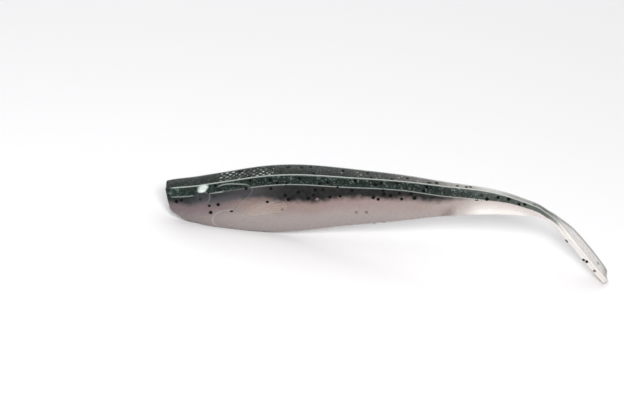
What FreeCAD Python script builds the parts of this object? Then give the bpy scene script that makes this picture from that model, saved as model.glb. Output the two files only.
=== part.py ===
import FreeCAD, Part
import os
import Sketcher

# Soft plastic swimbait, moulded in layers: a green back over a pearl belly, a clear paddle tail,
# and loose square glitter flakes set into the plastic.
# Frame: +X runs from the nose to the tail, +Z is up, the sagittal plane is Y = 0.
# The origin is on the floor, under the middle of the length. Millimetres throughout.
#
# The moulding is divided where it flexes. Each rigid stretch is a back layer on a belly layer, and
# each bend is a short plug of the same plastic between two stretches.

doc = FreeCAD.newDocument("swimbait")
sheet = doc.addObject("Spreadsheet::Sheet", "sizes")

# One cross-section per row: distance along the bait, heights of the back and of the belly, how far
# the crease lies below the back, and the half widths at the back, crease, flank and belly.
# The nose leans forward, so its distance is where its plane meets the floor, its heights run up
# that plane, and its middle is at distance 0.
SECTIONS = {
    "nose": (3.4, 11.9, 4.4, 2.5, 2.6, 3.6, 3.3, 2.0),
    "chin": (4, 12.1, 1.7, 2.3, 2.9, 4.5, 4.1, 2.1),
    "eye": (10, 14.2, 0.4, 2.2, 3.1, 5.3, 4.8, 2.3),
    "throat": (16, 16.2, -0.2, 2.1, 3.2, 5.7, 5.1, 2.4),
    "breast": (25, 19.3, -0.2, 2.1, 3.3, 5.95, 5.3, 2.5),
    "shoulder": (37, 22.1, 1.7, 2.0, 3.3, 5.95, 5.2, 2.3),
    "waist": (50, 23.3, 5.2, 2.0, 3.0, 5.7, 4.9, 2.0),
    "hip": (58, 23.8, 7.4, 1.8, 2.6, 5.3, 4.6, 1.8),
    "rump": (72, 24.4, 11.1, 1.8, 1.9, 4.4, 3.7, 1.5),
    "root": (80, 24.5, 13.2, 2.2, 1.5, 3.8, 2.9, 1.0),
    "taper": (94, 24.7, 16.2, 2.1, 1.2, 2.9, 1.9, 0.5),
    "stalk": (100, 24.0, 17.1, 1.6, 1.2, 2.5, 1.6, 0.45),
    "slope": (107, 22.5, 17.8, 1.2, 1.1, 2.2, 1.5, 0.45),
    "neck": (114, 20.0, 17.4, 1.0, 1.2, 2.3, 2.1, 1.0),
    "wrist": (118, 17.2, 14.7, 0.8, 2.3, 3.3, 3.2, 2.3),
    "collar": (121.5, 14.4, 11.8, 0.7, 4.2, 4.9, 4.8, 4.2),
    "palm": (126, 10.3, 7.7, 0.7, 4.8, 5.4, 5.3, 4.8),
    "fingers": (131, 5.6, 3.0, 0.7, 4.5, 5.1, 5.0, 4.5),
    "lip": (133.8, 2.9, 0, 0.7, 3.9, 4.5, 4.4, 3.9),
    "tip": (135.2, 1.6, 1.2, 0.1, 3.4, 3.5, 3.5, 3.4),
}
COLUMNS = ("distance", "back", "belly", "drop", "back_half", "crease_half", "flank_half", "belly_half")

# Sizes that hold along the whole bait.
SHARED = {
    "half_length": 68.4,
    "overhang": 1.6,
    "nose_tilt": 24.7,
    "seam_share": 0.2,
    "flank_share": 0.6,
    "flake_side": 0.9,
    "flake_thickness": 0.15,
    "rest_length": 36,
    "rest_width": 10,
    "rest_depth": 2,
}


def write_cell(row, alias, value):
    cell = "B%d" % row
    sheet.set("A%d" % row, alias)
    sheet.set(cell, str(value))
    sheet.setAlias(cell, alias)


def fill_sheet():
    row = 1
    for alias, value in SHARED.items():
        write_cell(row, alias, value)
        row += 1
    for section, values in SECTIONS.items():
        for column, value in zip(COLUMNS, values):
            write_cell(row, section + "_" + column, value)
            row += 1
    doc.recompute()


def formula(section, words):
    """Spell a formula for one section, with each column name written out as its cell."""
    for column in sorted(COLUMNS, key=len, reverse=True):
        words = words.replace("<" + column + ">", "sizes." + section + "_" + column)
    return words.replace("<<", "sizes.").replace(">>", "")


# Half of the outline, from the back's middle down to the belly's middle: (half width, height).
CREASE = "(<back> - <drop>)"
SIDE = "(<back> - <drop> - <belly>)"
CORNERS = {
    "back": ("<back_half>", "<back>"),
    "crease": ("<crease_half>", CREASE),
    "seam": (
        "<crease_half> - (<crease_half> - <flank_half>) * <<seam_share>> / <<flank_share>>",
        CREASE + " - " + SIDE + " * <<seam_share>>",
    ),
    "flank": ("<flank_half>", CREASE + " - " + SIDE + " * <<flank_share>>"),
    "belly": ("<belly_half>", "<belly>"),
}
LAYERS = {
    "back": ("back", "crease", "seam"),
    "belly": ("seam", "flank", "belly"),
    "whole": ("back", "crease", "seam", "flank", "belly"),
}


def value_of(section, words):
    """The formula's present value, worked out by the sheet."""
    return float(sheet.evalExpression(formula(section, words).replace("sizes.", "")))


def plane_of(body, role):
    for feature in body.Origin.OriginFeatures:
        if feature.Role == role:
            return feature
    raise ValueError("no plane " + role)


def draw_section(body, section, layer):
    """Sketch one layer's closed outline across the bait, mirrored about the sagittal plane."""
    sketch = body.newObject("Sketcher::SketchObject", body.Name + "_" + section)
    sketch.AttachmentSupport = [(plane_of(body, "YZ_Plane"), "")]
    sketch.MapMode = "FlatFace"
    if section == "nose":
        tilt = FreeCAD.Rotation(FreeCAD.Vector(-1, 0, 0), sheet.get("nose_tilt"))
        sketch.AttachmentOffset = FreeCAD.Placement(FreeCAD.Vector(), tilt)
        sketch.setExpression("AttachmentOffset.Rotation.Angle", "sizes.nose_tilt")
    place = formula(section, "<distance> + <<overhang>> - <<half_length>>")
    sketch.setExpression("AttachmentOffset.Base.z", place)
    corners = LAYERS[layer]
    right = [(value_of(section, CORNERS[c][0]), value_of(section, CORNERS[c][1])) for c in corners]
    left = [(-half, height) for half, height in reversed(right)]
    outline = [FreeCAD.Vector(half, height, 0) for half, height in right + left]
    count = len(outline)
    for index in range(count):
        sketch.addGeometry(Part.LineSegment(outline[index], outline[(index + 1) % count]), False)
    for index in range(count):
        sketch.addConstraint(Sketcher.Constraint("Coincident", index, 2, (index + 1) % count, 1))
    for index, corner in enumerate(corners):
        for axis, words, size in zip("XY", CORNERS[corner], right[index]):
            name = corner + "_" + axis.lower()
            place = sketch.addConstraint(Sketcher.Constraint("Distance" + axis, -1, 1, index, 1, size))
            sketch.renameConstraint(place, name)
            sketch.setExpression("Constraints." + name, formula(section, words))
        mirrored = count - 1 - index
        sketch.addConstraint(Sketcher.Constraint("Symmetric", index, 1, mirrored, 1, -2))
    return sketch


def loft_stretch(label, sections, layer):
    """A straight-sided loft through the sections, as one body."""
    body = doc.addObject("PartDesign::Body", label)
    body.Label = label
    sketches = [draw_section(body, section, layer) for section in sections]
    loft = body.newObject("PartDesign::AdditiveLoft", label + "_loft")
    loft.Profile = sketches[0]
    loft.Sections = sketches[1:]
    loft.Ruled = True
    loft.Closed = False
    body.Placement = FreeCAD.Placement()
    return body


def flatten_throat(body):
    """Cut the belly off level with the floor, so that the bait has a true flat to rest on."""
    sketch = body.newObject("Sketcher::SketchObject", "throat_rest")
    sketch.AttachmentSupport = [(plane_of(body, "XY_Plane"), "")]
    sketch.MapMode = "FlatFace"
    start = sheet.get("eye_distance") + sheet.get("overhang") - sheet.get("half_length")
    length = sheet.get("rest_length")
    half = sheet.get("rest_width") / 2
    corners = [(start, -half), (start + length, -half), (start + length, half), (start, half)]
    for index in range(4):
        ends = [FreeCAD.Vector(x, y, 0) for x, y in (corners[index], corners[(index + 1) % 4])]
        sketch.addGeometry(Part.LineSegment(*ends), False)
    for index in range(4):
        sketch.addConstraint(Sketcher.Constraint("Coincident", index, 2, (index + 1) % 4, 1))
    for index, level in enumerate(("Horizontal", "Vertical", "Horizontal")):
        sketch.addConstraint(Sketcher.Constraint(level, index))
    sketch.addConstraint(Sketcher.Constraint("Symmetric", 0, 1, 3, 1, -1))
    for name, words, constraint in (
        ("start", "sizes.eye_distance + sizes.overhang - sizes.half_length", ("DistanceX", -1, 1, 0, 1, start)),
        ("length", "sizes.rest_length", ("DistanceX", 0, 1, 0, 2, length)),
        ("width", "sizes.rest_width", ("DistanceY", 1, 1, 1, 2, 2 * half)),
    ):
        place = sketch.addConstraint(Sketcher.Constraint(*constraint))
        sketch.renameConstraint(place, name)
        sketch.setExpression("Constraints." + name, words)
    doc.recompute()
    before = body.Shape.Volume
    pocket = body.newObject("PartDesign::Pocket", "throat_flat")
    pocket.Profile = sketch
    pocket.setExpression("Length", "sizes.rest_depth")
    doc.recompute()
    if not body.Shape.Volume < before:
        raise RuntimeError("the rest flat cut nothing")


# Each stretch: the body's name and the sections that its lofts run through.
STRETCHES = {
    "torso": ("nose", "chin", "eye", "throat", "breast", "shoulder", "waist"),
    "front_bend": ("waist", "hip"),
    "midbody": ("hip", "rump"),
    "rear_bend": ("rump", "root"),
    "tail_root": ("root", "taper"),
    "stem_bend": ("taper", "stalk"),
    "stem": ("stalk", "slope", "neck"),
}
# The clear paddle tail and the plug of clear plastic that it swings on.
CLEAR_STRETCHES = {
    "wrist_bend": ("neck", "wrist"),
    "paddle": ("wrist", "collar", "palm", "fingers", "lip", "tip"),
}

# Glitter flakes: the sections that each group lies between, and how many lie on each side of the
# bait on the bevel, on the side below the crease and on the flank.
FLAKE_GROUPS = {
    "flakes_torso": ("chin", "waist", (12, 10, 4)),
    "flakes_midbody": ("hip", "rump", (5, 4, 0)),
    "flakes_tail_root": ("root", "taper", (5, 3, 0)),
    "flakes_stem": ("stalk", "neck", (4, 1, 0)),
    "flakes_paddle": ("wrist", "lip", (0, 3, 0)),
}
FACETS = (("back", "crease"), ("crease", "seam"), ("seam", "flank"))
# Steps of this share of the stretch spread the flakes evenly without a visible pattern.
GOLDEN_SHARE = 0.618034


def corner_point(distance, corner, names):
    """A corner of the outline at any distance behind the chin, between its two nearest sections."""
    for before, after in zip(names, names[1:]):
        start = sheet.get(before + "_distance")
        end = sheet.get(after + "_distance")
        if distance <= end:
            break
    share = (distance - start) / (end - start)
    half, height = [
        value_of(before, words) * (1 - share) + value_of(after, words) * share
        for words in CORNERS[corner]
    ]
    return FreeCAD.Vector(distance + sheet.get("overhang") - sheet.get("half_length"), half, height)


def flake(distance, facet, share, names, turn):
    """One square flake lying in the surface of a facet on the +Y side."""
    side = sheet.get("flake_side")
    thickness = sheet.get("flake_thickness")
    upper, lower = [corner_point(distance, corner, names) for corner in facet]
    ahead = corner_point(distance + side, facet[0], names)
    centre = upper * (1 - share) + lower * share
    normal = (lower - upper).cross(ahead - upper).normalize()
    square = Part.makeBox(side, side, thickness, FreeCAD.Vector(-side / 2, -side / 2, -thickness / 2))
    lean = FreeCAD.Rotation(FreeCAD.Vector(0, 0, 1), normal)
    spin = FreeCAD.Rotation(normal, turn)
    square.Placement = FreeCAD.Placement(centre, spin * lean)
    return square


def scatter_flakes(label, first, last, counts):
    """A group of flakes over one stretch, the same on both sides."""
    ordered = list(SECTIONS)
    names = ordered[ordered.index(first):ordered.index(last) + 1]
    margin = 1.5
    start = sheet.get(first + "_distance") + margin
    length = sheet.get(last + "_distance") - margin - start
    flakes = []
    for facet, count in zip(FACETS, counts):
        for index in range(count):
            along = (0.31 + (index + len(flakes)) * GOLDEN_SHARE) % 1
            across = 0.3 + 0.4 * ((index * GOLDEN_SHARE + 0.17) % 1)
            square = flake(start + length * along, facet, across, names, 37 * index)
            flakes.append(square)
            flakes.append(square.mirror(FreeCAD.Vector(0, 0, 0), FreeCAD.Vector(0, 1, 0)))
    group = doc.addObject("Part::Feature", label)
    group.Label = label
    group.Shape = Part.makeCompound(flakes)
    group.Placement = FreeCAD.Placement()
    return group


def check_document():
    for item in doc.Objects:
        if "Invalid" in item.State or "Error" in item.State:
            raise RuntimeError("failed: " + item.Name)


def write_nodes(nodes):
    os.makedirs("parts", exist_ok=True)
    for node in nodes:
        if node.Shape.isNull() or not node.Shape.isValid() or node.Shape.Volume <= 0:
            raise RuntimeError("bad shape: " + node.Label)
    for node in nodes:
        node.Shape.exportStep("parts/" + node.Label + ".step")
        print(node.Label, "volume %.1f" % node.Shape.Volume, "solids", len(node.Shape.Solids))


fill_sheet()
nodes = []
for name, sections in STRETCHES.items():
    for layer in ("back", "belly"):
        nodes.append(loft_stretch(layer + "_" + name, sections, layer))
        if name == "torso" and layer == "belly":
            flatten_throat(nodes[-1])
for name, sections in CLEAR_STRETCHES.items():
    nodes.append(loft_stretch("clear_" + name, sections, "whole"))
doc.recompute()
for name, (first, last, counts) in FLAKE_GROUPS.items():
    nodes.append(scatter_flakes(name, first, last, counts))
doc.recompute()
check_document()
write_nodes(nodes)
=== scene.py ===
import math
from collections import namedtuple

import bpy
import numpy as np
from mathutils import Matrix, Vector


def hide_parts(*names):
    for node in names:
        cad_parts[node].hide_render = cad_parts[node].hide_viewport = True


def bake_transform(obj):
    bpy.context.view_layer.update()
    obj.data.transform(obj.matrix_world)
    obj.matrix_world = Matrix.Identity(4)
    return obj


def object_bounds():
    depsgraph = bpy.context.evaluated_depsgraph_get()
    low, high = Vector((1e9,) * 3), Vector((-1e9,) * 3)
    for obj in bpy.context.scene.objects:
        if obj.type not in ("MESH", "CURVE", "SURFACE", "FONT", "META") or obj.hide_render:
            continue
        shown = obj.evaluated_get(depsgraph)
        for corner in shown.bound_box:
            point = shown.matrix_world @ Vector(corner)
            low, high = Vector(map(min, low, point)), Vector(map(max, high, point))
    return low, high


# The looks of a soft plastic swimbait. One skin is worked out over the whole bait, its relief is
# raised on it, and it is then cut into closed pieces: a back and a belly for each of the first
# three bends, and one clear tail. Square flakes are set into it.
# Sizes are millimetres until a mesh is made. "Distance" is measured along X from the middle of the
# nose, which leans forward, and "fall" down the surface from the crease between the sloping
# shoulder and the flank, so it is negative above the crease.

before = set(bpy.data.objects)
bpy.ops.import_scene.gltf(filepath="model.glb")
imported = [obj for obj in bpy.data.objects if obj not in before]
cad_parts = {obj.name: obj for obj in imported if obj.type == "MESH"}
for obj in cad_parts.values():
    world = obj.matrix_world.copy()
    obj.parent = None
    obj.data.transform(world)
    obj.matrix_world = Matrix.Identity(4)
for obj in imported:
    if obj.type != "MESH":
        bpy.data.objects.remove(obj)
cad_low, cad_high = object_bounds()

MM = 0.001
# The top of the nose hangs this far ahead of its middle.
NOSE_OVERHANG = 1.6
NOSE_X = cad_low.x / MM + NOSE_OVERHANG
SEED = 7

# ---------------------------------------------------------------- shape of the moulding

# Distance from the nose, middle height, half height, half widths of the flat back and at the
# crease, drop from the back to the crease, and how boxy the flank is: 2 is an ellipse, and below 1
# the flank is hollow.
STATIONS = np.array([
    (0.0, 7.0, 3.85, 2.6, 3.5, 2.3, 3.8),
    (4.0, 6.8, 5.3, 2.9, 4.5, 2.3, 3.1),
    (10.0, 7.35, 6.9, 3.1, 5.3, 2.2, 2.7),
    (16.0, 8.15, 8.15, 3.2, 5.6, 2.1, 2.6),
    (25.0, 9.8, 9.6, 3.3, 5.75, 2.1, 2.6),
    (37.0, 11.9, 10.2, 3.3, 5.85, 2.0, 2.6),
    (50.0, 14.25, 9.0, 3.0, 5.6, 2.0, 2.6),
    (58.0, 15.6, 8.15, 2.6, 5.2, 1.8, 2.6),
    (72.0, 17.7, 6.65, 1.9, 4.3, 1.85, 2.4),
    (80.0, 18.75, 5.6, 1.5, 3.7, 2.2, 1.8),
    (87.0, 19.6, 4.9, 1.25, 3.2, 2.2, 1.05),
    (94.0, 20.3, 4.2, 1.1, 2.8, 2.1, 0.75),
    (100.0, 20.5, 3.4, 1.15, 2.5, 1.5, 0.75),
    (107.0, 20.1, 2.3, 1.1, 2.2, 1.1, 0.95),
    (110.2, 19.8, 1.65, 1.1, 2.1, 1.0, 1.7),
    (112.4, 19.2, 1.1, 1.2, 2.15, 0.85, 2.6),
    (114.5, 18.3, 1.0, 1.35, 2.4, 0.75, 3.0),
    (118.0, 15.95, 0.95, 2.6, 3.6, 0.6, 3.6),
    (121.5, 13.1, 0.95, 4.2, 4.9, 0.45, 4.5),
    (126.0, 9.0, 0.95, 4.8, 5.4, 0.35, 5.0),
    (131.0, 4.3, 0.9, 4.5, 5.1, 0.4, 5.0),
    (134.5, 0.85, 0.85, 3.7, 4.3, 0.4, 5.0),
])
# The rings lean with the moulding's slope from the first of these distances, fully at the second.
LEAN_START, LEAN_FULL = 96.0, 116.0
# How far forward the nose leans for each millimetre of height, and how far back that reaches.
NOSE_SLOPE, NOSE_REACH = 0.38, 9.0
# The radius of the nose's edge, and how far the rounding of the tip's edge and corners reaches.
NOSE_EDGE, TIP_EDGE, TIP_CORNER = 0.8, 0.6, 2.2
# How deep the flat back and the bevel beside it are hollowed.
BACK_HOLLOW, BEVEL_HOLLOW = 0.18, 0.1
# The thin keel under the tail root and stem: half its thickness, how square its lower edge is,
# and where it starts and ends.
KEEL_HALF, KEEL_SQUARENESS = 0.42, 8
KEEL_START, KEEL_FULL, KEEL_END, KEEL_GONE = 80.0, 90.0, 110.6, 112.0
# The thin flange on each side of the paddle's heel: its width, where it starts, and its notch.
HEEL_WIDTH = 0.55
HEEL_START, HEEL_FULL, NOTCH_START, NOTCH_END = 115.5, 119.6, 120.4, 120.9

# Rings for each millimetre of length, the extra ones over the head, and those within END_REACH of
# each end; then the rings that close an end.
RING_DENSITY, HEAD_DENSITY, END_DENSITY, END_REACH = 4.0, 3.0, 8.0, 0.8
DENSE_HEAD_END, PLAIN_BODY_START = 36, 46
END_RINGS = 9
# Samples round half a ring: the flat back, the bevel from the back to the crease, and the flank.
BACK_STEPS, BEVEL_STEPS, FLANK_STEPS = 28, 26, 92
CREASE = BACK_STEPS + BEVEL_STEPS
# The back piece and the belly piece meet this far round, under the crease.
SEAM = CREASE + 18


def natural_spline(keys, values, wanted):
    """A smooth curve through the keys, read at the wanted places."""
    gaps = np.diff(keys)
    slopes = np.diff(values) / gaps
    count = len(keys)
    system = np.eye(count)
    right = np.zeros(count)
    for i in range(1, count - 1):
        system[i, i - 1:i + 2] = gaps[i - 1], 2 * (gaps[i - 1] + gaps[i]), gaps[i]
        right[i] = 6 * (slopes[i] - slopes[i - 1])
    bend = np.linalg.solve(system, right)
    i = np.clip(np.searchsorted(keys, wanted) - 1, 0, count - 2)
    a = (keys[i + 1] - wanted) / gaps[i]
    b = 1 - a
    curve = ((a ** 3 - a) * bend[i] + (b ** 3 - b) * bend[i + 1]) * gaps[i] ** 2 / 6
    return a * values[i] + b * values[i + 1] + curve


def smooth(x, start, end):
    """A soft step from 0 at start to 1 at end."""
    share = np.clip((x - start) / (end - start), 0, 1)
    return share * share * (3 - 2 * share)


def hill(x, width):
    return np.exp(-(x / width) ** 2)


def bead(x, radius):
    """The height of a round bead that lies along x = 0."""
    return np.sqrt(np.clip(radius ** 2 - x ** 2, 0, None))


def station_values(distance):
    """Middle height, half height, back, crease, drop and boxiness at each of some distances."""
    return [natural_spline(STATIONS[:, 0], column, distance) for column in STATIONS[:, 1:].T]


def station_at(distance):
    """The same six values at one distance."""
    return [values[0] for values in station_values(np.array([float(distance)]))]


def ring_distances():
    """Distances of the rings, closest together at the nose, over the head and at the tip."""
    fine = np.linspace(0, STATIONS[-1, 0], 6000)
    path = np.hypot(np.gradient(fine), np.gradient(station_values(fine)[0]))
    density = RING_DENSITY + HEAD_DENSITY * (1 - smooth(fine, DENSE_HEAD_END, PLAIN_BODY_START))
    density += END_DENSITY * (hill(fine, END_REACH) + hill(fine - fine[-1], END_REACH))
    total = np.cumsum(path * density)
    total -= total[0]
    return np.interp(np.linspace(0, total[-1], int(total[-1])), total, fine)


def keel_half(distance):
    """Half the thickness of the keel at a distance, 0 where there is none."""
    grows = smooth(distance, KEEL_START, KEEL_FULL)
    return KEEL_HALF * grows * smooth(distance, KEEL_GONE, KEEL_END)


def half_ring(back, crease, height, drop, boxy, keel):
    """Half a cross-section, from the back's middle to the belly's, as half width and height."""
    share = np.sin(np.linspace(0, 1, BACK_STEPS, endpoint=False) * math.pi / 2)
    sag = BACK_HOLLOW * min(1, back / 3) * (1 - share ** 2)
    back_part = np.stack((back * share, height - sag), 1)
    share = (1 - np.cos(np.linspace(0, 1, BEVEL_STEPS, endpoint=False) * math.pi)) / 2
    hollow = BEVEL_HOLLOW * drop * 2 * share * (1 - share)
    out = back + (crease - back) * share
    bevel_part = np.stack((out - hollow, height - drop * share - hollow), 1)
    turn = np.linspace(0, math.pi / 2, 240)
    across = crease * np.clip(np.cos(turn), 0, 1) ** (2 / boxy)
    deep = np.sin(turn) ** (2 / boxy)
    across = np.maximum(across, keel * np.sqrt(np.clip(1 - deep ** KEEL_SQUARENESS, 0, 1)))
    down = height - drop - (2 * height - drop) * deep
    run = np.concatenate(([0], np.cumsum(np.hypot(np.diff(across), np.diff(down)))))
    even = np.linspace(0, run[-1], FLANK_STEPS)
    flank_part = np.stack((np.interp(even, run, across), np.interp(even, run, down)), 1)
    return np.concatenate((back_part, bevel_part, flank_part))


def rounding(from_end, reach, power, limit):
    """What share of its size a ring near the tip keeps. The limit keeps the last ring open."""
    return (1 - np.clip(1 - from_end / reach, 0, limit) ** power) ** (1 / power)


def smooth_skin(distance):
    """Half of the moulding without its relief, as rings of points with y as the half width."""
    middle, height, back, crease, drop, boxy = station_values(distance)
    step = np.hypot(np.gradient(distance), np.gradient(middle))
    from_end = np.cumsum(step[::-1])[::-1] - step[-1]
    nose = NOSE_EDGE - np.sqrt(NOSE_EDGE ** 2 - np.clip(NOSE_EDGE - distance, 0, NOSE_EDGE) ** 2)
    corner = rounding(from_end, TIP_CORNER, 3.5, 0.985)
    thin = rounding(from_end, TIP_EDGE, 2, 0.93)
    keel = keel_half(distance)
    rings = np.array([
        half_ring((back[i] - nose[i]) * corner[i], (crease[i] - nose[i]) * corner[i],
                  (height[i] - nose[i]) * thin[i], drop[i] * thin[i], boxy[i], keel[i])
        for i in range(len(distance))
    ])
    slope = np.arctan2(np.gradient(middle), np.gradient(distance))
    lean = (slope * smooth(distance, LEAN_START, LEAN_FULL))[:, None]
    nose_slope = NOSE_SLOPE * (1 - smooth(distance, 0, NOSE_REACH))[:, None]
    across, up = rings[..., 0], rings[..., 1]
    ahead = distance[:, None] - up * (np.sin(lean) + nose_slope)
    return np.stack((ahead, across, middle[:, None] + up * np.cos(lean)), 2)


def whole_ring(half):
    """The near half (negative Y) and its mirror image, as closed rings."""
    near = half.copy()
    near[..., 1] *= -1
    return np.concatenate((near, half[:, -2:0:-1]), 1)


def grid_normals(rings):
    """Unit normals of closed rings of points, pointing outwards."""
    along = np.gradient(rings, axis=0)
    around = np.roll(rings, -1, 1) - np.roll(rings, 1, 1)
    normal = np.cross(along, around)
    normal /= np.maximum(np.linalg.norm(normal, axis=2, keepdims=True), 1e-12)
    outward = rings - rings.mean(1, keepdims=True)
    return normal * np.sign(np.sum(normal * outward))


# ---------------------------------------------------------------- relief of the moulding

RIDGE_BEAD, CREASE_BEAD = 0.2, 0.14
# How wide a fine raised line is, and one left by the mould or a bubble.
LINE_WIDTH, MOULD_LINE_WIDTH = 0.17, 0.16
# How pale each kind of raised line is painted, from 0 to 1: partly the lighter look of thin clear
# ribs, partly a painted highlight, most of all on the ridge and the upper rim.
PALE = {"ridge": 0.9, "crease": 0.5, "rim": 0.12, "upper rim": 0.55, "fold": 0.35, "ray": 0.26,
        "fin edge": 0.1, "mould line": 0.3}
# The eye: its middle (distance and height), its radius, its half width and the rise of its dome.
EYE_AT, EYE_RADIUS, EYE_OUT, EYE_DOME = (9.8, 11.25), 2.45, 5.05, 0.3
# How deep the socket round it is, and the half widths beyond which the eye and the socket show.
SOCKET_DEPTH, EYE_BEYOND, SOCKET_BEYOND = 0.08, 2.5, 3.8
# Outlines and lines on the flank are points of distance and fall.
GILL_COVER = [(12.0, -0.9), (14.2, -2.0), (16.8, -2.35), (20.2, -1.75), (23.2, -0.75), (24.3, 0.7),
              (23.7, 2.7), (21.8, 4.6), (20.3, 7.4), (17.0, 7.0), (13.5, 4.5)]
LOWER_GILL = [(19.4, 6.9), (17.2, 6.7), (15.1, 7.3), (14.0, 9.3), (14.5, 11.2), (15.6, 13.0),
              (17.4, 15.2)]
# Heights of the gill cover's plate and rim, the fold below it, and the throat ahead of the fold.
PLATE_HEIGHT, RIM_HEIGHT, FOLD_HEIGHT, THROAT_HEIGHT = 0.22, 0.05, 0.08, 0.14
FIN_OUTLINE = [(22.8, 9.6), (24.6, 7.2), (27.6, 6.1), (31.0, 5.6), (34.0, 5.9), (35.1, 7.3),
               (34.9, 9.0), (33.2, 9.9), (28.0, 10.4), (24.4, 10.4)]
# Each ray of the fin, from its root to its tip.
FIN_RAYS = [((26.4, 7.1), (31.6, 5.9)), ((25.0, 7.9), (34.2, 6.4)), ((24.4, 8.6), (34.9, 7.3)),
            ((23.8, 9.3), (34.9, 8.2)), ((23.6, 9.9), (34.4, 9.1)), ((25.4, 10.2), (31.4, 9.8))]
FIN_HEIGHT, RAY_HEIGHT = 0.15, 0.11
# Rows of scales on the back: their first and last distance, their spacing, how far each row is
# from the middle, and the length and height of a scale.
NAPE_SCALES = {"start": 14.6, "end": 30.0, "step": 1.75, "rows": (0.0, 1.15, 2.3),
               "size": 0.8, "height": 0.17}
BACK_SCALES = {"start": 50.0, "end": 76.0, "step": 1.9, "rows": (0.35, 1.3),
               "size": 0.62, "height": 0.1}
# A scale's width for its length, and how high its front edge is for its rear edge.
SCALE_WIDTH, SCALE_FRONT = 0.72, 0.45
# The gills and fins all lie before this distance.
HEAD_END = 40.0
# What each point is painted by, in order. A point that isn't near the eye counts as FAR from it.
DISTANCE, FALL, FROM_RIDGE, EDGES, SCALES, EYE = range(6)
FAR = 2
# Fine lines left across the moulding: where each is, and where on the flank it begins.
MOULD_LINES = [(105.6, 1.2), (108.6, 0.8), (114.9, -3.0)]
MOULD_LINE_HEIGHT = 0.05
# Small rings left by bubbles: the distance and fall of each.
BUBBLE_RADIUS, BUBBLE_HEIGHT = 0.42, 0.05
BUBBLES = [(66.6, 5.0), (71.6, 4.6), (73.0, 4.4), (48.8, 6.8), (59.2, 8.8)]


def rounded_line(points, count=60):
    """A smooth curve through a few points."""
    points = np.array(points, float)
    run = np.concatenate(([0], np.cumsum(np.linalg.norm(np.diff(points, axis=0), axis=1))))
    even = np.linspace(0, run[-1], count)
    return np.stack([natural_spline(run, column, even) for column in points.T], 1)


def line_distance(line, x, y):
    """How far each place (x, y) is from a line of points."""
    nearest = np.full(x.shape, 1e9)
    for start, end in zip(line[:-1], line[1:]):
        way = end - start
        share = ((x - start[0]) * way[0] + (y - start[1]) * way[1]) / (way @ way)
        share = np.clip(share, 0, 1)
        gap = np.hypot(x - start[0] - share * way[0], y - start[1] - share * way[1])
        nearest = np.minimum(nearest, gap)
    return nearest


def inside(line, x, y):
    """Whether each place (x, y) is inside a closed line of points."""
    within = np.zeros(x.shape, bool)
    for (x0, y0), (x1, y1) in zip(line, np.roll(line, -1, 0)):
        crosses = (y0 > y) != (y1 > y)
        within ^= crosses & (x < x0 + (x1 - x0) * (y - y0) / (y1 - y0 + 1e-12))
    return within


def gill_relief(distance, fall):
    """The gill cover's raised plate and the fold below it: their height, and their pale lines,
    partly a painted highlight.
    """
    line = rounded_line(GILL_COVER + GILL_COVER[:1], 90)
    edge = line_distance(line, distance, fall)
    plate = np.where(inside(line, distance, fall), smooth(edge, 0, 0.5), 0)
    rim = hill(edge, LINE_WIDTH) * smooth(distance, 13.5, 15)
    upper_rim = rim * smooth(fall, 0.2, -0.3) * smooth(distance, 24, 21)
    fold = hill(line_distance(rounded_line(LOWER_GILL), distance, fall), LINE_WIDTH)
    throat = smooth(distance, 9, 13) * smooth(distance, 17.5, 14.5) * smooth(fall, 5, 8)
    relief = PLATE_HEIGHT * plate * smooth(distance, 12.5, 16)
    relief += RIM_HEIGHT * rim + FOLD_HEIGHT * fold + THROAT_HEIGHT * throat
    return relief, PALE["rim"] * rim + PALE["upper rim"] * upper_rim + PALE["fold"] * fold


def fin_relief(distance, fall):
    """The breast fin, moulded flat on the flank with its rays: its height, and its pale lines."""
    outline = rounded_line(FIN_OUTLINE + FIN_OUTLINE[:1])
    edge = line_distance(outline, distance, fall)
    relief = np.where(inside(outline, distance, fall), FIN_HEIGHT * smooth(edge, 0, 0.4), 0)
    rays = np.zeros(distance.shape)
    for root, tip in FIN_RAYS:
        ray = line_distance(np.array([root, tip]), distance, fall)
        rays = np.maximum(rays, hill(ray, LINE_WIDTH))
    return relief + RAY_HEIGHT * rays, PALE["ray"] * rays + PALE["fin edge"] * hill(edge, 0.2)


def scale_relief(distance, across, layout):
    """Rows of overlapping scales, each highest at its rear edge."""
    relief = np.zeros(distance.shape)
    size = layout["size"]
    for row, offset in enumerate(layout["rows"]):
        shift = layout["step"] / 2 * (row % 2)
        for at in np.arange(layout["start"] + shift, layout["end"], layout["step"]):
            u = (distance - at) / size
            v = (across - offset) / (size * SCALE_WIDTH)
            dome = np.sqrt(np.clip(1 - u * u - v * v, 0, 1))
            tilt = SCALE_FRONT + (1 - SCALE_FRONT) * (u + 1) / 2
            relief = np.maximum(relief, layout["height"] * dome * tilt)
    return relief


def bubble_relief(distance, fall):
    relief = np.zeros(distance.shape)
    for at, below in BUBBLES:
        gap = np.hypot(distance - at, fall - below)
        relief += BUBBLE_HEIGHT * hill(gap - BUBBLE_RADIUS, MOULD_LINE_WIDTH)
    return relief


def mould_lines(distance, fall):
    lines = np.zeros(distance.shape)
    for at, begins in MOULD_LINES:
        line = hill(distance - at, MOULD_LINE_WIDTH) * smooth(fall, begins, begins + 0.5)
        lines = np.maximum(lines, line)
    return lines


def crease_strength(distance):
    """How far the crease stands up: not over the eye or on the stem, little over the gill cover."""
    stem = smooth(distance, 92, 95) * (1 - smooth(distance, 114, 116))
    eye = smooth(distance, 7.0, 8.0) * (1 - smooth(distance, 11.6, 12.4))
    gill = smooth(distance, 15, 16.5) * (1 - smooth(distance, 23.5, 24.5))
    return smooth(distance, 1.0, 2.5) * (1 - stem) * (1 - eye - 0.8 * gill)


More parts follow.
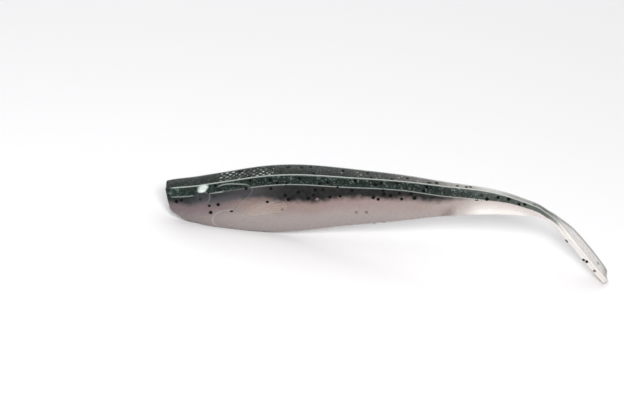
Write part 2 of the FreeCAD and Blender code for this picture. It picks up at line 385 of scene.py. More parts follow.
def back_scales(distance, across, from_ridge):
    """The scales of the nape and of the rear back: their height, and how strongly each gets a
    painted highlight, 0 to 1.
    """
    on_back = from_ridge < -0.25
    nape = np.where(on_back, scale_relief(distance, across, NAPE_SCALES), 0)
    rear = np.where(on_back, scale_relief(distance, across, BACK_SCALES), 0)
    # The rear ones get a painted highlight in clusters, one about every 6 mm.
    clusters = smooth(np.sin(distance * 1.05), -0.2, 0.4)
    glint = (nape / NAPE_SCALES["height"]) ** 2
    glint += 0.8 * clusters * (rear / BACK_SCALES["height"]) ** 2
    return nape + rear, np.clip(glint, 0, 1)


def body_relief(distance, fall, from_ridge, across):
    """Relief square to the surface: its height, its pale lines, partly a painted highlight, and the
    painted highlight on its scales, each 0 to 1.
    """
    ridge_strength = smooth(distance, 1.0, 3.0)
    strength = crease_strength(distance)
    lines = mould_lines(distance, fall)
    scales, glint = back_scales(distance, across, from_ridge)
    relief = 0.85 * bead(from_ridge, RIDGE_BEAD) * ridge_strength
    relief += bead(fall, CREASE_BEAD) * strength
    relief += scales + bubble_relief(distance, fall) + MOULD_LINE_HEIGHT * lines
    edges = PALE["ridge"] * hill(from_ridge, RIDGE_BEAD * 0.75) * ridge_strength
    edges += PALE["crease"] * hill(fall, CREASE_BEAD) * strength
    edges += PALE["mould line"] * lines
    head = distance[:, 0] < HEAD_END
    for feature in (gill_relief, fin_relief):
        height, pale = feature(distance[head], fall[head])
        relief[head] += height
        edges[head] += pale
    return relief, np.clip(edges, 0, 1), glint


def eye_bulge(half):
    """Push the half width out over the eye, a flat-topped dome that faces sideways.
    Gives how far each point is from the eye's middle, as a share of its radius, up to FAR."""
    gap = np.hypot(half[..., 0] - EYE_AT[0], half[..., 2] - EYE_AT[1])
    dome = EYE_DOME * np.sqrt(np.clip(1 - (gap / (EYE_RADIUS * 1.1)) ** 2, 0, 1))
    edge = np.clip(1 - (gap / EYE_RADIUS) ** 5, 0, 1) ** 0.6
    socket = SOCKET_DEPTH * hill(gap - EYE_RADIUS - 0.2, 0.3)
    half[..., 1] -= socket * (half[..., 1] > SOCKET_BEYOND)
    lift = np.clip((EYE_OUT + dome - half[..., 1]) * edge, 0, None)
    near_surface = half[..., 1] > EYE_BEYOND
    half[..., 1] += lift * near_surface
    return np.where(near_surface, np.clip(gap / EYE_RADIUS, 0, FAR), FAR)


def heel_flange(half, distance):
    """The thin flange on each side of the paddle's heel, which ends in a notch."""
    width = HEEL_WIDTH * smooth(distance, HEEL_START, HEEL_FULL)
    width *= 1 - smooth(distance, NOTCH_START, NOTCH_END)
    sample = np.arange(half.shape[1])
    lower = smooth(sample, CREASE - 2, CREASE + 12) * (1 - smooth(sample, CREASE + 30, CREASE + 60))
    half[..., 1] += width[:, None] * lower[None, :]


def end_rings(ring, count):
    """Rings that close a flat end, shrinking towards its middle."""
    centre = (ring[0] + ring[-1]) / 2
    shares = np.linspace(0.04, 0.94, count) ** 0.8
    return np.array([centre + (ring - centre) * share for share in shares])


def half_skin():
    """Half of the skin with its relief, and what each point is painted by."""
    distance = ring_distances()
    half = smooth_skin(distance)
    heel_flange(half, distance)
    run = np.linalg.norm(np.diff(half, axis=1), axis=2)
    run = np.concatenate((np.zeros((len(distance), 1)), np.cumsum(run, axis=1)), 1)
    fall = run - run[:, [CREASE]]
    from_ridge = run - run[:, [BACK_STEPS]]
    across = half[..., 1].copy()
    spread = np.broadcast_to(distance[:, None], fall.shape)
    relief, edges, scales = body_relief(spread, fall, from_ridge, across)
    normal = grid_normals(whole_ring(half))[:, :half.shape[1]]
    normal[..., 1] *= -1
    half = half + normal * relief[..., None]
    half[:, [0, -1], 1] = 0
    half[..., 0] = np.maximum(half[..., 0], -NOSE_OVERHANG)
    eye = eye_bulge(half)
    half[..., 2] = np.maximum(half[..., 2], 0)
    paint = np.stack((spread, fall, from_ridge, edges, scales, eye), 2)
    return close_ends(half, paint)


def close_ends(half, paint):
    """Add the flat nose and the tip. On the nose, the paint goes by height instead of by run."""
    nose = end_rings(half[0], END_RINGS)
    tip = end_rings(half[-1], END_RINGS)[::-1]
    nose_paint = np.zeros(nose.shape[:2] + (paint.shape[2],))
    nose_paint[..., FALL] = half[0, CREASE, 2] - nose[..., 2]
    nose_paint[..., FROM_RIDGE] = half[0, BACK_STEPS, 2] - nose[..., 2]
    nose_paint[..., EYE] = FAR
    tip_paint = np.broadcast_to(paint[-1], (len(tip),) + paint[-1].shape)
    return np.concatenate((nose, half, tip)), np.concatenate((nose_paint, paint, tip_paint))


# ---------------------------------------------------------------- pieces

# Each stretch: its first and last distance, the bodies it joins, where its bend starts and ends,
# and the CAD nodes that it stands for: the plastic ones, which come as a back and a belly except
# in the paddle, and the flakes.
Stretch = namedtuple("Stretch", "name start end bodies bend nodes flakes")
STRETCHES = [
    Stretch("front", 0, 65, ("torso", "midbody"), (46, 62), ("torso", "front_bend", "midbody"),
            ("flakes_torso", "flakes_midbody")),
    Stretch("rear", 65, 87, ("midbody", "tail_root"), (68, 84), ("rear_bend", "tail_root"),
            ("flakes_tail_root",)),
    Stretch("stem", 87, 108, ("tail_root", "stem"), (90, 104), ("stem_bend", "stem"),
            ("flakes_stem",)),
]
PADDLE = Stretch("paddle", 108, 140, ("stem", "paddle"), (111, 121),
                 ("clear_wrist_bend", "clear_paddle"), ("flakes_paddle",))

# The whole skin: closed rings of points, the normal at each, and what each is painted by.
Skin = namedtuple("Skin", "points normals paint")


def build_skin():
    half, paint = half_skin()
    rings = whole_ring(half)
    paint = np.concatenate((paint, paint[:, -2:0:-1]), 1)
    return Skin(rings, grid_normals(rings), paint)


def metres(points):
    """Points from distance, width and height in millimetres to the frame's metres."""
    moved = np.array(points, float)
    moved[..., 0] += NOSE_X
    return moved * MM


def path_point(distance):
    """The middle of the moulding at a distance, in metres."""
    return Vector(metres([distance, 0, station_at(distance)[0]]))


def bend_piece(piece, stretch):
    """Bake a piece's placement into its mesh. The ends of its bend are found but not used."""
    start, end = (path_point(distance) for distance in stretch.bend)
    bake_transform(piece)


def store(mesh, name, values):
    """Keep a triple of numbers at each point, for the materials."""
    attribute = mesh.attributes.new(name, "FLOAT_VECTOR", "POINT")
    attribute.data.foreach_set("vector", np.asarray(values, np.float32).ravel())


def new_mesh(name, points, faces, materials):
    mesh = bpy.data.meshes.new(name)
    mesh.from_pydata(metres(points).tolist(), [], faces)
    for material in materials:
        mesh.materials.append(material)
    piece = bpy.data.objects.new(name, mesh)
    bpy.context.collection.objects.link(piece)
    return piece


def tube_faces(rows, columns):
    """Four-sided faces of a closed tube, then its two end faces."""
    start = np.arange(rows - 1)[:, None] * columns
    here = np.arange(columns)[None, :]
    there = (here + 1) % columns
    after = start + columns
    quads = np.stack((start + here, start + there, after + there, after + here), 2)
    first = list(range(columns))[::-1]
    last = [(rows - 1) * columns + i for i in range(columns)]
    return quads.reshape(-1, 4).tolist() + [first, last]


def tube_normals(mesh, normals, rows, columns, open_ring):
    """Corner normals: the skin's own outside, and each face's own on the cut and seam faces."""
    loops = np.zeros(len(mesh.loops), np.int32)
    mesh.loops.foreach_get("vertex_index", loops)
    corner = normals.reshape(-1, 3)[loops]
    flat = list(mesh.polygons[(rows - 1) * columns:])
    if open_ring:
        flat += [mesh.polygons[row * columns + columns - 1] for row in range(rows - 1)]
    for face in flat:
        corner[face.loop_start:face.loop_start + face.loop_total] = face.normal
    mesh.polygons.foreach_set("use_smooth", np.ones(len(mesh.polygons), bool))
    mesh.normals_split_custom_set(corner.tolist())


def cut_piece(name, skin, rows, columns, stretch, material):
    """A closed piece of the skin: some of its rings, and some or all of the columns round them."""
    points, normals, paint = (part[rows][:, columns] for part in skin)
    piece = new_mesh(name, points.reshape(-1, 3), tube_faces(len(rows), len(columns)), [material])
    open_ring = len(columns) < skin.points.shape[1]
    store(piece.data, "rest", points.reshape(-1, 3))
    store(piece.data, "paint", paint[..., :EDGES].reshape(-1, 3))
    store(piece.data, "detail", paint[..., EDGES:].reshape(-1, 3))
    tube_normals(piece.data, normals, len(rows), len(columns), open_ring)
    bend_piece(piece, stretch)
    return piece


def skin_rows(skin, stretch):
    """The rings of a stretch, both of its cut rings included."""
    distance = skin.paint[:, 0, DISTANCE]
    rows = np.flatnonzero((distance >= stretch.start) & (distance < stretch.end))
    if rows[-1] + 1 < len(distance):
        rows = np.append(rows, rows[-1] + 1)
    return rows


def build_pieces(skin, materials):
    count = skin.points.shape[1]
    back_columns = np.arange(-SEAM, SEAM + 1) % count
    belly_columns = np.arange(SEAM, count - SEAM + 1)
    for stretch in STRETCHES:
        rows = skin_rows(skin, stretch)
        for side, columns in (("back", back_columns), ("belly", belly_columns)):
            name = f"{side}_{stretch.name}_skin"
            piece = cut_piece(name, skin, rows, columns, stretch, materials[side])
            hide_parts(*(f"{side}_{node}" for node in stretch.nodes))
    rows = skin_rows(skin, PADDLE)
    piece = cut_piece("clear_tail_skin", skin, rows, np.arange(count), PADDLE, materials["clear"])
    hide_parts(*PADDLE.nodes)


# ---------------------------------------------------------------- flakes

# A flake's side, how far it lies in the skin and stands out of it, and the least space between two.
FLAKE_SIDE, FLAKE_DEPTH, FLAKE_PROUD, FLAKE_SPACE = 0.92, 0.1, 0.08, 1.5
# The smallest and largest flake, as shares of the usual side.
FLAKE_SIZES = (0.8, 1.12)
# Flakes that stand out on the near side: distance and fall of each.
NEAR_FLAKES = [
    (2.9, 1.5), (4.3, 1.1), (12.4, 4.2), (15.0, 4.2), (13.1, 6.7), (19.2, 7.4), (22.4, 0.1),
    (29.3, 5.6), (35.4, 5.0), (38.0, 2.5), (41.2, 4.5), (45.0, 1.3), (47.5, 3.6), (60.3, 3.1),
    (67.7, 1.0), (68.7, 2.9), (74.9, -0.8), (91.2, 0.4), (97.4, -1.3), (126.2, 1.0), (29.8, 1.1),
    (29.2, -1.9), (34.0, -0.3), (34.3, 3.6), (42.6, 3.4), (46.0, -1.2), (49.2, 0.3), (53.6, 0.9),
    (54.1, -2.4), (61.8, 3.5), (62.0, -2.1), (62.8, 0.3), (65.3, 2.1), (66.7, -2.2), (94.2, -0.4),
    (100.7, -1.3), (103.9, -0.6), (105.6, -1.1), (120.2, 1.4), (126.9, 0.5),
]
# Zones that flakes lie in: first and last distance, least and greatest fall, area for one flake,
# and the share of them that lie deep, where they look grey or faint.
FLAKE_ZONES = [
    (3, 26, -4.6, -0.4, 14, 0.5),
    (3, 30, 0.3, 3.2, 30, 0.8),
    (26, 92, -5.0, -0.3, 8, 0.25),
    (30, 74, 0.2, 3.4, 9, 0.2),
    (30, 74, 3.4, 5.2, 60, 0.8),
    (14, 80, 6.0, 16.0, 190, 1.0),
    (92, 113, -2.6, -0.1, 9, 0.25),
    (115, 133, -5.0, 1.0, 60, 1.0),
]
# A deep flake is faint below this fall in the pearl, and beyond this distance in the clear tail.
FAINT_BELOW, CLEAR_FROM = 3.6, 112
BLACK, DEEP, FAINT = range(3)
# The faces of a flake, by its eight corners.
FLAKE_FACES = [(0, 3, 2, 1), (4, 5, 6, 7), (0, 1, 5, 4), (1, 2, 6, 5), (2, 3, 7, 6), (3, 0, 4, 7)]


def surface_at(skin, distance, fall, side):
    """The point, normal and direction along the bait nearest to a distance and fall on one side."""
    points, normals, paint = skin
    ring_distance = paint[END_RINGS:-END_RINGS, 0, DISTANCE]
    row = int(np.argmin(np.abs(ring_distance - distance))) + END_RINGS
    half = paint.shape[1] // 2 + 1
    column = int(np.argmin(np.abs(paint[row, :half, FALL] - fall)))
    if side > 0:
        column = -column
    along = points[row + 1, column] - points[row - 1, column]
    return points[row, column], normals[row, column], along


def flake_corners(point, normal, along, turn, size):
    """The eight corners of one flake, a square plate that lies in the surface."""
    normal = Vector(normal)
    across = normal.cross(Vector(along)).normalized()
    ahead = across.cross(normal)
    corners = []
    for lift in (-FLAKE_DEPTH, FLAKE_PROUD):
        for quarter in range(4):
            angle = turn + (quarter + 0.5) * math.pi / 2
            spoke = (ahead * math.cos(angle) + across * math.sin(angle)) * size * math.sqrt(0.5)
            corners.append(Vector(point) + spoke + normal * lift)
    return corners


def crosses_ridge(distance, fall):
    """Whether a flake there would stick out over the ridge between the back and the shoulder."""
    back, crease, drop = station_at(distance)[2:5]
    return abs(fall + math.hypot(crease - back, drop)) < FLAKE_SIDE * 0.7


def scattered_flakes(rng):
    """Distance, fall, side, whether it is deep, for every flake."""
    places = [(distance, fall, -1, False) for distance, fall in NEAR_FLAKES]
    for start, end, least, greatest, area, deep in FLAKE_ZONES:
        for _ in range(int(2 * (end - start) * (greatest - least) / area)):
            side = -1 if rng.random() < 0.5 else 1
            place = (rng.uniform(start, end), rng.uniform(least, greatest), side,
                     rng.random() < deep)
            apart = all(math.dist(place[:2], other[:2]) > FLAKE_SPACE or other[2] != side
                        for other in places)
            if apart and not crosses_ridge(*place[:2]):
                places.append(place)
    return places


def flake_film(distance, fall, deep):
    """Which of the three flake materials a flake has."""
    if not deep:
        return BLACK
    return FAINT if fall > FAINT_BELOW or distance > CLEAR_FROM else DEEP


def build_flakes(skin, materials):
    rng = np.random.default_rng(SEED)
    places = scattered_flakes(rng)
    for stretch in STRETCHES + [PADDLE]:
        corners, faces, film = [], [], []
        for distance, fall, side, deep in places:
            if not stretch.start <= distance < stretch.end:
                continue
            size = FLAKE_SIDE * rng.uniform(*FLAKE_SIZES)
            turn = rng.uniform(0, math.pi / 2)
            base = len(corners)
            corners += flake_corners(*surface_at(skin, distance, fall, side), turn, size)
            faces += [tuple(base + i for i in face) for face in FLAKE_FACES]
            film += [flake_film(distance, fall, deep)] * len(FLAKE_FACES)
        piece = new_mesh(f"flakes_{stretch.name}_cut", np.array(corners), faces, materials)
        piece.data.polygons.foreach_set("material_index", np.array(film, np.int32))
        store(piece.data, "rest", np.array(corners))
        bend_piece(piece, stretch)
        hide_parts(*stretch.flakes)


# ---------------------------------------------------------------- materials


def shade(red, green, blue):
    """A colour from its 0 to 255 screen values."""
    channels = np.array([red, green, blue]) / 255
    linear = np.where(channels <= 0.04045, channels / 12.92, ((channels + 0.055) / 1.055) ** 2.4)
    return (*linear.tolist(), 1.0)


def shades(*stops):
    """Stops of a colour ramp, from a place and its 0 to 255 screen values each."""
    return [(place, shade(*channels)) for place, *channels in stops]


class Paint:
    """One material's nodes."""

    def __init__(self, name):
        self.material = bpy.data.materials.new(name)
        self.material.use_nodes = True
        self.nodes = self.material.node_tree.nodes
        self.links = self.material.node_tree.links
        self.shader = self.nodes["Principled BSDF"]

    def add(self, kind, **settings):
        node = self.nodes.new(kind)
        for key, value in settings.items():
            setattr(node, key, value)
        return node

    def put(self, value, socket):
        """Link an output to a socket, or set the socket to a plain value."""
        if isinstance(value, bpy.types.NodeSocket):
            self.links.new(value, socket)
        else:
            socket.default_value = value

    def attribute(self, name):
        return self.add("ShaderNodeAttribute", attribute_name=name).outputs["Vector"]

    def split(self, vector):
        node = self.add("ShaderNodeSeparateXYZ")
        self.put(vector, node.inputs[0])
        return node.outputs[0], node.outputs[1], node.outputs[2]

    def math(self, operation, *values):
        node = self.add("ShaderNodeMath", operation=operation)
        for value, socket in zip(values, node.inputs):
            self.put(value, socket)
        return node.outputs[0]

    def plus(self, first, second):
        return self.math("ADD", first, second)

    def minus(self, first, second):
        return self.math("SUBTRACT", first, second)

    def times(self, first, second):
        return self.math("MULTIPLY", first, second)

    def scaled(self, value, factor, start):
        """A value times a factor, added to a start."""
        return self.math("MULTIPLY_ADD", value, factor, start)

    def step(self, value, start, end):
        """A soft step of a value from 0 at start to 1 at end."""
        node = self.add("ShaderNodeMapRange", interpolation_type="SMOOTHSTEP")
        for item, socket in zip((value, start, end), node.inputs[:3]):
            self.put(item, socket)
        return node.outputs[0]

    def ramp(self, value, stops):
        """A colour that changes along a value; stops are (place, colour)."""
        node = self.add("ShaderNodeValToRGB")
        node.color_ramp.interpolation = "EASE"
        low, high = stops[0][0], stops[-1][0]
        elements = node.color_ramp.elements
        while len(elements) < len(stops):
            elements.new(0.5)
        for element, (place, colour) in zip(elements, stops):
            element.position = (place - low) / (high - low)
            element.color = colour
        share = self.add("ShaderNodeMapRange")
        for item, socket in zip((value, low, high), share.inputs[:3]):
            self.put(item, socket)
        self.put(share.outputs[0], node.inputs[0])
        return node.outputs[0]

    def curve(self, value, stops):
        """A number that changes along a value; stops are (place, number)."""
        top = max(number for _, number in stops)
        colours = [(place, (number / top,) * 3 + (1.0,)) for place, number in stops]
        return self.times(self.ramp(value, colours), top)

    def mix(self, share, first, second):
        node = self.add("ShaderNodeMix", data_type="RGBA")
        sockets = (node.inputs[0], node.inputs[6], node.inputs[7])
        for item, socket in zip((share, first, second), sockets):
            self.put(item, socket)
        return node.outputs[2]

    def noise(self, vector, scale, detail):
        node = self.add("ShaderNodeTexNoise")
        self.put(vector, node.inputs["Vector"])
        node.inputs["Scale"].default_value = scale
        node.inputs["Detail"].default_value = detail
        return node.outputs["Fac"]

    def cells(self, vector, scale):
        """A random number for each cell of a fine mosaic."""
        node = self.add("ShaderNodeTexVoronoi")
        self.put(vector, node.inputs["Vector"])
        node.inputs["Scale"].default_value = scale
        return self.split(node.outputs["Color"])[0]

    def bump(self, height, depth, under=None):
        """A bump of some depth in millimetres, on top of another."""
        node = self.add("ShaderNodeBump")
        node.inputs["Strength"].default_value = 0.5
        node.inputs["Distance"].default_value = depth * MM
        self.put(height, node.inputs["Height"])
        if under is not None:
            self.put(under, node.inputs["Normal"])
        return node.outputs[0]


# How far the dark band reaches down from the crease, as stops of distance and depth.
DARK_DEPTH = [(0, 1.2), (3, 2.2), (7, 3.1), (13, 3.8), (22, 3.9), (28, 4.4), (33, 5.8), (42, 6.1),
              (50, 3.9), (60, 3.5), (74, 3.1), (81, 2.3), (87, 1.0), (92, 0.3), (135, 0.1)]
# Colours along the bait: the dark band, the flank below it, the belly, the shoulder between the
# ridge and the crease, and the back. Each stop is a distance and a colour.
DARK_COLOUR = shades(
    (0, 40, 44, 45), (5, 38, 40, 41), (9, 62, 62, 66), (17, 68, 66, 69), (25, 52, 51, 53),
    (30, 34, 34, 34), (36, 10, 11, 10), (50, 14, 14, 13), (62, 16, 15, 15), (78, 22, 21, 20),
    (86, 72, 67, 65), (92, 160, 153, 149), (135, 215, 209, 205)
)
PINK = shades(
    (0, 100, 90, 91), (10, 104, 91, 93), (25, 120, 105, 101), (45, 131, 113, 110),
    (72, 139, 124, 120), (84, 152, 140, 137), (96, 190, 181, 177), (135, 222, 216, 212)
)
# The dark stop at 83.5 mm is a painted shade where the round belly ends above the keel.
PEARL = shades(
    (0, 119, 109, 108), (25, 140, 131, 128), (60, 142, 133, 130), (76, 147, 138, 135),
    (80, 150, 140, 137), (83.5, 124, 112, 109), (87, 174, 166, 162), (94, 212, 208, 204),
    (135, 222, 217, 214)
)
SHOULDER = shades(
    (0, 30, 46, 42), (13, 22, 34, 31), (16, 13, 20, 18), (23, 13, 20, 18), (27, 18, 27, 24),
    (75, 22, 29, 26), (88, 58, 62, 59), (94, 84, 88, 84), (112, 84, 88, 84),
    (115, 118, 119, 115), (117.5, 206, 202, 198), (120, 228, 223, 220), (135, 228, 223, 220)
)
# From 76 to 104 mm the back is paler: partly a painted reflection of the light above, partly the
# green thinning out.
BACK = shades(
    (0, 34, 40, 36), (20, 26, 32, 29), (48, 32, 35, 33), (60, 60, 60, 58), (76, 122, 118, 115),
    (86, 188, 184, 180), (96, 235, 231, 228), (104, 170, 168, 165), (112, 110, 111, 108),
    (115, 140, 139, 136), (118, 220, 216, 213), (122, 236, 231, 229), (131.5, 232, 227, 224),
    (134.6, 168, 160, 156)
)
# Colours of the glitter's cells, by a random number from 0 to 1, and how many cells a millimetre
# has for the fine and the coarse ones.
FINE_CELLS, COARSE_CELLS = 2.9, 1.3
GLITTER = shades(
    (0.0, 8, 13, 11), (0.5, 20, 29, 26), (0.82, 46, 60, 54), (0.94, 84, 98, 92),
    (1.0, 132, 140, 135)
)
# The pale raised lines: partly thin clear plastic, partly a painted highlight.
PALE_LINE_AND_HIGHLIGHT = shade(205, 212, 206)
# A painted highlight on the tops of the raised scales.
SCALE_HIGHLIGHT = shade(222, 226, 222)
SMOKE_GREY = shade(70, 70, 70)
BROW_DARK = shade(20, 24, 24)
EYE_GREY = shade(66, 66, 70)
EYE_RIM = shade(88, 85, 89)
# A painted highlight on the top of the eye.
EYE_HIGHLIGHT = shade(196, 203, 200)
# A painted shade along the paddle's rims, standing in for the darker edges of clear plastic.
PADDLE_EDGE_SHADE = shade(140, 140, 137)
FIN_TINT = shade(138, 116, 104)
# The painted highlight at the top of the eye: the distance and fall of its middle, and its half
# sizes.
GLINT_AT, GLINT_SIZE = (9.8, -2.2), (1.35, 0.95)
# Specular levels of the plastic and of the flakes, and the least and added roughness.
SHEEN, FLAKE_SHEEN = 0.15, 0.06
ROUGH_LEAST, ROUGH_ADDED = 0.2, 0.16
# How deep the bumps are, in millimetres: slow swells in each plastic, and its grain.
BACK_SWELL, BELLY_SWELL, CLEAR_SWELL, GRAIN = 0.12, 0.06, 0.03, 0.02
# How opaque the tail is, as stops of distance and alpha.
CLEARNESS = [(108, 1.0), (113, 0.98), (119, 0.9), (136, 0.88)]


def fin_patch(paint, distance, fall):
    """Where the breast fin is, 0 to 1."""
    along = paint.times(paint.step(distance, 22.6, 25.0), paint.step(distance, 35.6, 34.4))
    across = paint.times(paint.step(fall, 5.6, 6.8), paint.step(fall, 10.8, 9.4))
    return paint.times(along, across)


def flank_colour(paint, rest, distance, fall):
    """A dark smoky band under the crease, pink below it and a pearl belly."""
    blotch = paint.minus(paint.noise(rest, 0.16, 3), 0.5)
    mottle = paint.minus(paint.noise(rest, 0.7, 4), 0.5)
    wander = paint.scaled(blotch, 2.4, paint.times(mottle, 1.6))
    below = paint.minus(paint.plus(fall, wander), paint.curve(distance, DARK_DEPTH))
    dark = paint.ramp(distance, DARK_COLOUR)
    smoke = paint.mix(paint.step(mottle, -0.3, 0.4), dark, SMOKE_GREY)
    smoke = paint.mix(0.75, smoke, dark)
    brow = paint.times(paint.step(fall, 3.2, 0.3), paint.step(distance, 28, 15))
    smoke = paint.mix(paint.times(brow, 0.75), smoke, BROW_DARK)
    colour = paint.mix(paint.step(below, -1.5, 1.4), smoke, paint.ramp(distance, PINK))
    colour = paint.mix(paint.step(below, 1.0, 6.0), colour, paint.ramp(distance, PEARL))
    return paint.mix(paint.times(fin_patch(paint, distance, fall), 0.4), colour, FIN_TINT)


def top_colour(paint, rest, distance, from_ridge):
    """Green plastic full of fine silvery glitter, fading towards the tail; painted reflection on
    the back, painted shade on the paddle's rims.
    """
    fine = paint.ramp(paint.cells(rest, FINE_CELLS), GLITTER)
    coarse = paint.ramp(paint.cells(rest, COARSE_CELLS), GLITTER)
    glitter = paint.mix(0.35, fine, coarse)
    strength = paint.times(0.6, paint.step(distance, 112, 98))
    shoulder = paint.mix(strength, paint.ramp(distance, SHOULDER), glitter)
    back = paint.mix(paint.times(strength, 0.7), paint.ramp(distance, BACK), glitter)
    # A painted shade along the rims of the paddle's back.
    rim = paint.times(paint.step(from_ridge, -1.4, -0.7), paint.step(distance, 115.5, 118))
    back = paint.mix(paint.times(rim, 0.75), back, PADDLE_EDGE_SHADE)
    return paint.mix(paint.step(from_ridge, -0.15, 0.15), back, shoulder)


def eye_glint(paint, distance, fall):
    """Where the painted highlight at the top of each eye lies, 0 to 1."""
    ahead = paint.math("DIVIDE", paint.minus(distance, GLINT_AT[0]), GLINT_SIZE[0])
    below = paint.math("DIVIDE", paint.minus(fall, GLINT_AT[1]), GLINT_SIZE[1])
    spread = paint.plus(paint.times(ahead, ahead), paint.times(below, below))
    return paint.step(spread, 1.9, 0.2)


def skin_colour(paint, rest):
    distance, fall, from_ridge = paint.split(paint.attribute("paint"))
    edges, scales, eye = paint.split(paint.attribute("detail"))
    flank = flank_colour(paint, rest, distance, fall)
    top = top_colour(paint, rest, distance, from_ridge)
    wobble = paint.scaled(paint.noise(rest, 1.5, 3), 0.5, paint.minus(fall, 0.25))
    colour = paint.mix(paint.step(wobble, -0.15, 0.12), top, flank)
    colour = paint.mix(paint.times(paint.step(eye, 1.0, 0.6), 0.3), colour, EYE_GREY)
    rim = paint.times(paint.step(eye, 0.8, 0.98), paint.step(eye, 1.14, 0.98))
    behind = paint.times(paint.step(distance, 9.2, 11.6), paint.step(fall, -0.3, 0.8))
    colour = paint.mix(paint.times(rim, behind), colour, EYE_RIM)
    # A painted highlight at the top of each eye, where it faces the light above.
    glint = paint.times(eye_glint(paint, distance, fall), paint.step(from_ridge, 0.0, 0.25))
    colour = paint.mix(glint, colour, EYE_HIGHLIGHT)
    # A painted highlight on the scales' tops, in patches.
    scale_highlight = paint.times(scales, paint.step(paint.noise(rest, 1.1, 2), 0.42, 0.56))
    colour = paint.mix(paint.step(scale_highlight, 0.15, 0.75), colour, SCALE_HIGHLIGHT)
    # Raised lines are painted pale, partly as thin clear plastic and partly as a painted highlight.
    return paint.mix(paint.times(edges, 0.62), colour, PALE_LINE_AND_HIGHLIGHT)


def skin_material(name, swell_depth):
    paint = Paint(name)
    rest = paint.attribute("rest")
    paint.put(skin_colour(paint, rest), paint.shader.inputs["Base Color"])
    rough = paint.scaled(paint.noise(rest, 0.8, 4), ROUGH_ADDED, ROUGH_LEAST)
    paint.put(rough, paint.shader.inputs["Roughness"])
    paint.shader.inputs["Specular IOR Level"].default_value = SHEEN
    swell = paint.bump(paint.noise(rest, 0.5, 2), swell_depth)
    grain = paint.bump(paint.noise(rest, 3.5, 3), GRAIN, swell)
    paint.put(grain, paint.shader.inputs["Normal"])
    return paint


def clear_material():
    """The tail: green fades to clear, slightly milky plastic."""
    paint = skin_material("clear_tail_plastic", CLEAR_SWELL)
    distance = paint.split(paint.attribute("paint"))[0]
    paint.put(paint.curve(distance, CLEARNESS), paint.shader.inputs["Alpha"])
    return paint


def flake_material(name, dark, light):
    paint = Paint(name)
    rest = paint.attribute("rest")
    colour = paint.mix(paint.noise(rest, 0.9, 3), dark, light)
    paint.put(colour, paint.shader.inputs["Base Color"])
    rough = paint.scaled(paint.noise(rest, 2.0, 2), 0.2, ROUGH_LEAST)
    paint.put(rough, paint.shader.inputs["Roughness"])
    paint.shader.inputs["Specular IOR Level"].default_value = FLAKE_SHEEN
    return paint.material


def floor_material():
    paint = Paint("pale_floor")
    place = paint.add("ShaderNodeTexCoord").outputs["Object"]
    colour = paint.mix(paint.noise(place, 3, 2), FLOOR_DULL, FLOOR_BRIGHT)
    paint.put(colour, paint.shader.inputs["Base Color"])
    paint.shader.inputs["Roughness"].default_value = 0.7
    paint.shader.inputs["Specular IOR Level"].default_value = 0.2
    return paint.material


# ---------------------------------------------------------------- stage, light and camera

# The floor in metres: half its side, squares along it, and how far it lies below the bait.
FLOOR_HALF, FLOOR_SQUARES, FLOOR_GAP = 3.0, 12, 0.00005
FLOOR_DULL, FLOOR_BRIGHT = (0.86, 0.855, 0.865, 1), (0.88, 0.875, 0.885, 1)
WORLD_COLOUR, WORLD_STRENGTH = (1.0, 0.995, 1.0, 1), 0.24

VIEW_AZIMUTH, VIEW_HEIGHT, VIEW_ROLL = math.radians(-5), math.radians(27), math.radians(10.47)
VIEW_DISTANCE, VIEW_LENS = 1.0, 192.0
# The middle of the view lies this far to the left of the bait's middle, and above it.
AIM_LEFT, AIM_ABOVE = 0.0243, 0.0027
BAIT_MIDDLE = Vector((0.0008, 0, 0.011))


def build_floor():
    steps = np.linspace(-FLOOR_HALF, FLOOR_HALF, FLOOR_SQUARES + 1)
    points = [(x, y, -FLOOR_GAP) for y in steps for x in steps]
    faces = []
    for row in range(FLOOR_SQUARES):
        for column in range(FLOOR_SQUARES):
            corner = row * (FLOOR_SQUARES + 1) + column
            behind = corner + FLOOR_SQUARES + 1
            faces.append((corner, corner + 1, behind + 1, behind))
    mesh = bpy.data.meshes.new("floor")
    mesh.from_pydata(points, [], faces)
    mesh.materials.append(floor_material())
    floor = bpy.data.objects.new("floor", mesh)
    bpy.context.collection.objects.link(floor)


def soft_box(name, place, size, power):
    """A white area light that faces the bait."""
    light = bpy.data.lights.new(name, "AREA")
    light.shape = "RECTANGLE"
    light.size, light.size_y = size
    light.energy = power
    lamp = bpy.data.objects.new(name, light)
    lamp.location = place
    lamp.rotation_euler = (BAIT_MIDDLE - Vector(place)).to_track_quat("-Z", "Y").to_euler()
    bpy.context.collection.objects.link(lamp)


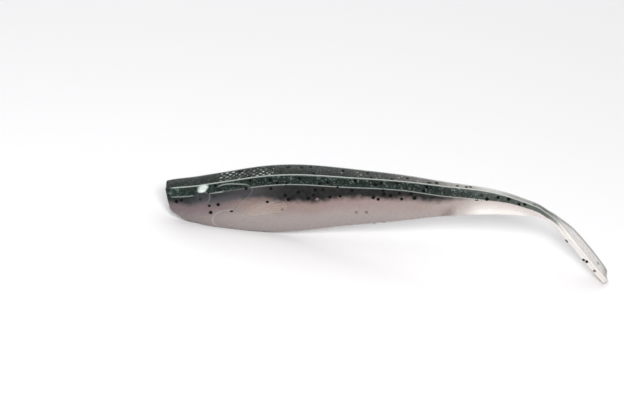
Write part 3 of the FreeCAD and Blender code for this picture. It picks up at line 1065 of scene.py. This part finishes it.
def build_light():
    world = bpy.data.worlds.new("studio")
    world.use_nodes = True
    background = world.node_tree.nodes["Background"]
    background.inputs["Color"].default_value = WORLD_COLOUR
    background.inputs["Strength"].default_value = WORLD_STRENGTH
    bpy.context.scene.world = world
    soft_box("overhead", (0, 0.18, 0.6), (1.4, 1.1), 3.2)
    soft_box("back_strip", (0, 0.45, 0.35), (0.8, 0.08), 0.5)
    soft_box("key", (-0.03, -0.5, 0.34), (0.16, 0.12), 3.8)
    bpy.context.scene.view_settings.view_transform = "Standard"


def build_camera():
    """A camera that circles the bait, rises, rolls, and then aims a little off its middle."""
    right = Vector((math.cos(VIEW_AZIMUTH), math.sin(VIEW_AZIMUTH), 0))
    back = Vector((math.sin(VIEW_AZIMUTH) * math.cos(VIEW_HEIGHT),
                   -math.cos(VIEW_AZIMUTH) * math.cos(VIEW_HEIGHT), math.sin(VIEW_HEIGHT)))
    up = back.cross(right)
    tilted_right = right * math.cos(VIEW_ROLL) + up * math.sin(VIEW_ROLL)
    tilted_up = up * math.cos(VIEW_ROLL) - right * math.sin(VIEW_ROLL)
    place = BAIT_MIDDLE + back * VIEW_DISTANCE
    aim = BAIT_MIDDLE - tilted_right * AIM_LEFT + tilted_up * AIM_ABOVE
    back = (place - aim).normalized()
    tilted_right = (tilted_right - back * tilted_right.dot(back)).normalized()
    tilted_up = back.cross(tilted_right)
    camera = bpy.data.objects.new("camera", bpy.data.cameras.new("camera"))
    camera.data.lens = VIEW_LENS
    camera.data.clip_start = 0.01
    turned = Matrix((tilted_right, tilted_up, back)).transposed().to_4x4()
    camera.matrix_world = Matrix.Translation(place) @ turned
    bpy.context.collection.objects.link(camera)
    bpy.context.scene.camera = camera


skin = build_skin()
build_pieces(skin, {
    "back": skin_material("green_back_plastic", BACK_SWELL).material,
    "belly": skin_material("pearl_belly_plastic", BELLY_SWELL).material,
    "clear": clear_material().material,
})
build_flakes(skin, [
    flake_material("black_flake_film", shade(4, 4, 4), shade(14, 15, 14)),
    flake_material("deep_flake_film", shade(26, 26, 26), shade(52, 50, 49)),
    flake_material("faint_flake_film", shade(92, 84, 82), shade(118, 108, 106)),
])
build_floor()
build_light()
build_camera()
